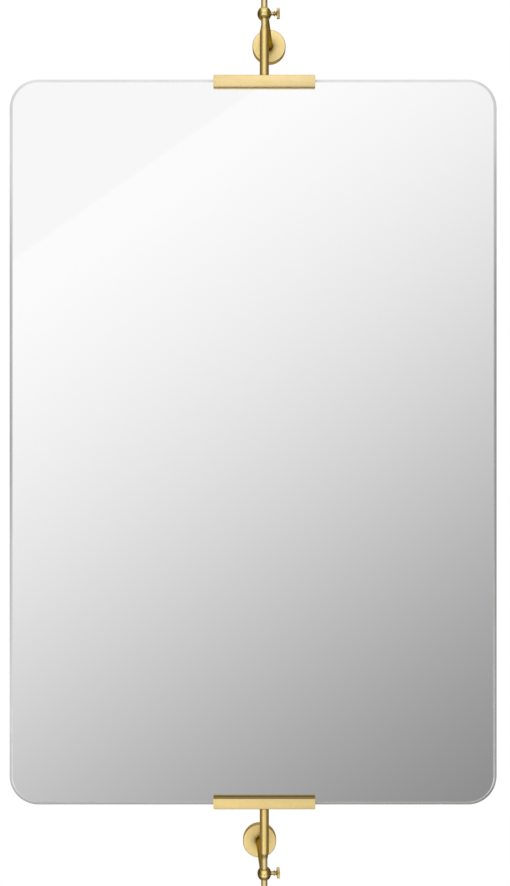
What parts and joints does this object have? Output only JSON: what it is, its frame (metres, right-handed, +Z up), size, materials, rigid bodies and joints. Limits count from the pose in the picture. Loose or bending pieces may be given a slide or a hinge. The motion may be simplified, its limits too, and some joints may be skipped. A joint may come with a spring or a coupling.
{
  "type": "pivot wall mirror",
  "caption": "Frameless rectangular wall mirror with rounded corners, held by brass clips on rods that slide and swivel in ball-ended wall brackets.",
  "frame": {"origin": "on the wall, straight behind the pivot line, at the height of the top ball", "axes": "+X to the right as seen from the room, +Y into the wall, +Z up"},
  "size_m": [0.61, 0.1087, 1.1774],
  "materials": {
    "mirror_silver": "clear silvered glass",
    "backing_grey": "matt safety film",
    "satin_brass": "satin, brushed",
    "screw_steel": "plain",
    "gasket_rubber": "matt",
    "nylon": "natural"
  },
  "bodies": {
    "wall_brackets": {"top_ball": "satin_brass", "bottom_ball": "satin_brass", "top_arm": "satin_brass", "bottom_arm": "satin_brass", "top_wall_plate": "satin_brass", "bottom_wall_plate": "satin_brass", "top_wall_disc": "screw_steel", "bottom_wall_disc": "screw_steel", "top_plate_screw": "screw_steel", "bottom_plate_screw": "screw_steel", "top_arm_bolt": "screw_steel", "bottom_arm_bolt": "screw_steel"},
    "rods": {"top_rod": "satin_brass", "bottom_rod": "satin_brass", "top_finial": "satin_brass", "bottom_finial": "satin_brass", "thrust_washer": "nylon"},
    "mirror": {"mirror_glass": "mirror_silver", "backing_film": "backing_grey", "top_clip": "satin_brass", "bottom_clip": "satin_brass", "top_clip_gasket": "gasket_rubber", "bottom_clip_gasket": "gasket_rubber", "top_clip_screws": "screw_steel", "bottom_clip_screws": "screw_steel", "top_sleeve": "satin_brass", "bottom_sleeve": "satin_brass", "top_sleeve_screw": "screw_steel", "bottom_sleeve_screw": "screw_steel"},
    "top_pad": {"top_clamp_pad": "nylon"},
    "top_thumb": {"top_thumb_screw": "satin_brass"},
    "bottom_pad": {"bottom_clamp_pad": "nylon"},
    "bottom_thumb": {"bottom_thumb_screw": "satin_brass"}
  },
  "joints": [
    {"name": "height_slide", "type": "slide", "parent": "wall_brackets", "child": "rods", "axis": [0, 0, 1], "range_m": [-0.0131, 0.0091]},
    {"name": "mirror_swivel", "type": "hinge", "parent": "rods", "child": "mirror", "pos_m": [0, -0.1, -0.5367], "axis": [0, 0, 1], "range_deg": [-17, 18.5]},
    {"name": "top_pad_travel", "type": "slide", "parent": "wall_brackets", "child": "top_pad", "axis": [0.9976, -0.0698, 0], "range_m": [0, 0.0016]},
    {"name": "top_thumb_turn", "type": "hinge", "parent": "top_pad", "child": "top_thumb", "pos_m": [0, -0.1, 0], "axis": [0.9976, -0.0698, 0], "range_deg": [0, 720]},
    {"name": "bottom_pad_travel", "type": "slide", "parent": "wall_brackets", "child": "bottom_pad", "axis": [0.9976, 0.0698, 0], "range_m": [0, 0.0016]},
    {"name": "bottom_thumb_turn", "type": "hinge", "parent": "bottom_pad", "child": "bottom_thumb", "pos_m": [0, -0.1, -1.07741], "axis": [0.9976, 0.0698, 0], "range_deg": [0, 720]}
  ],
  "couplings": [
    {"joint": "top_thumb_turn", "follows": "top_pad_travel", "rad_per_m": 7854},
    {"joint": "bottom_thumb_turn", "follows": "bottom_pad_travel", "rad_per_m": 7854}
  ]
}
